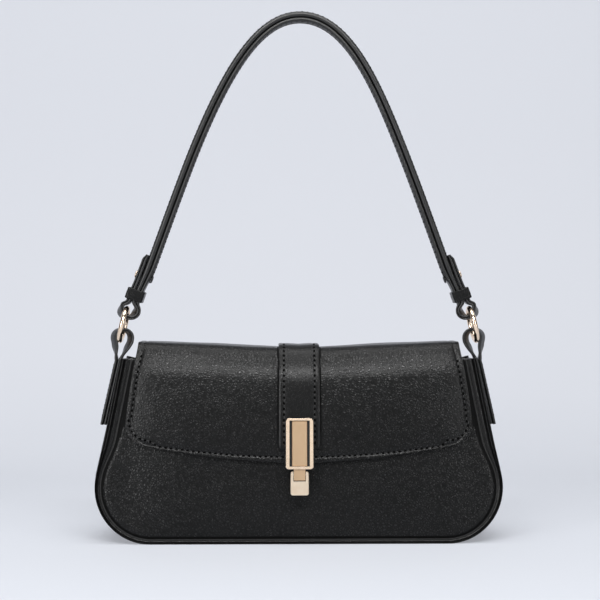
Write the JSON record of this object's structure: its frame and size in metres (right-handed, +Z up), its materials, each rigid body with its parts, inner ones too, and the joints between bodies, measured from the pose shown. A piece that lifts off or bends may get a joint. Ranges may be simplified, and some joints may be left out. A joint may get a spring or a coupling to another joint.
{
  "type": "shoulder bag",
  "caption": "Small leather shoulder bag with a fold-over flap, a gold clasp on a centre tab, gold side rings and a looped shoulder strap.",
  "frame": {"origin": "middle of the base's underside, where the bag stands", "axes": "+X to the bag's right as seen from the front, +Y to the back, +Z up; the front with the clasp faces -Y"},
  "size_m": [0.268, 0.0758, 0.3485],
  "materials": {
    "leather": "black, fine pebble grain, soft sheen",
    "lining_fabric": "plain woven lining",
    "board": "stiffener board",
    "gold": "polished pale gold plate",
    "satin_gold": "satin pale gold plate",
    "steel": "plain"
  },
  "bodies": {
    "bag_body": {"front_panel": "leather", "back_panel": "leather", "front_welt": "leather", "back_welt": "leather", "gusset": "leather", "lining": "lining_fabric", "base_board": "board", "front_facing": "leather", "back_facing": "leather", "catch_magnet": "steel", "magnet_patch": "lining_fabric", "flap_back_leaf": "leather", "left_side_tab": "leather", "right_side_tab": "leather"},
    "flap": {"flap_lining": "leather", "flap_outer": "leather", "closure_tab": "leather", "clasp_frame": "gold", "clasp_bar": "satin_gold", "clasp_back_plate": "steel", "lower_clasp_screw": "steel", "upper_clasp_screw": "steel", "tongue_pin": "steel"},
    "tongue": {"clasp_tongue": "gold", "tongue_armature": "steel"},
    "strap": {"strap": "leather", "left_keeper": "leather", "right_keeper": "leather", "left_stud": "gold", "right_stud": "gold", "left_stud_cap": "gold", "right_stud_cap": "gold"},
    "left_ring": {"left_ring": "gold"},
    "right_ring": {"right_ring": "gold"}
  },
  "joints": [
    {"name": "flap_hinge", "type": "hinge", "parent": "bag_body", "child": "flap", "pos_m": [0, 0.02414, 0.1205], "axis": [-1, 0, 0], "range_deg": [0, 150], "deforming": ["flap_outer", "flap_lining"]},
    {"name": "tongue_flip", "type": "hinge", "parent": "flap", "child": "tongue", "pos_m": [0, -0.03999, 0.04552], "axis": [-1, 0, 0], "range_deg": [0, 100]},
    {"name": "strap_swing", "type": "hinge", "parent": "bag_body", "child": "strap", "pos_m": [0, 0, 0.1407], "axis": [1, 0, 0], "range_deg": [-70, 70]},
    {"name": "left_ring_turn", "type": "hinge", "parent": "strap", "child": "left_ring", "pos_m": [-0.1163, 0, 0.1407], "axis": [0.9763, 0, -0.2164], "continuous": true},
    {"name": "right_ring_turn", "type": "hinge", "parent": "strap", "child": "right_ring", "pos_m": [0.1163, 0, 0.1407], "axis": [0.9763, 0, 0.2164], "continuous": true}
  ]
}
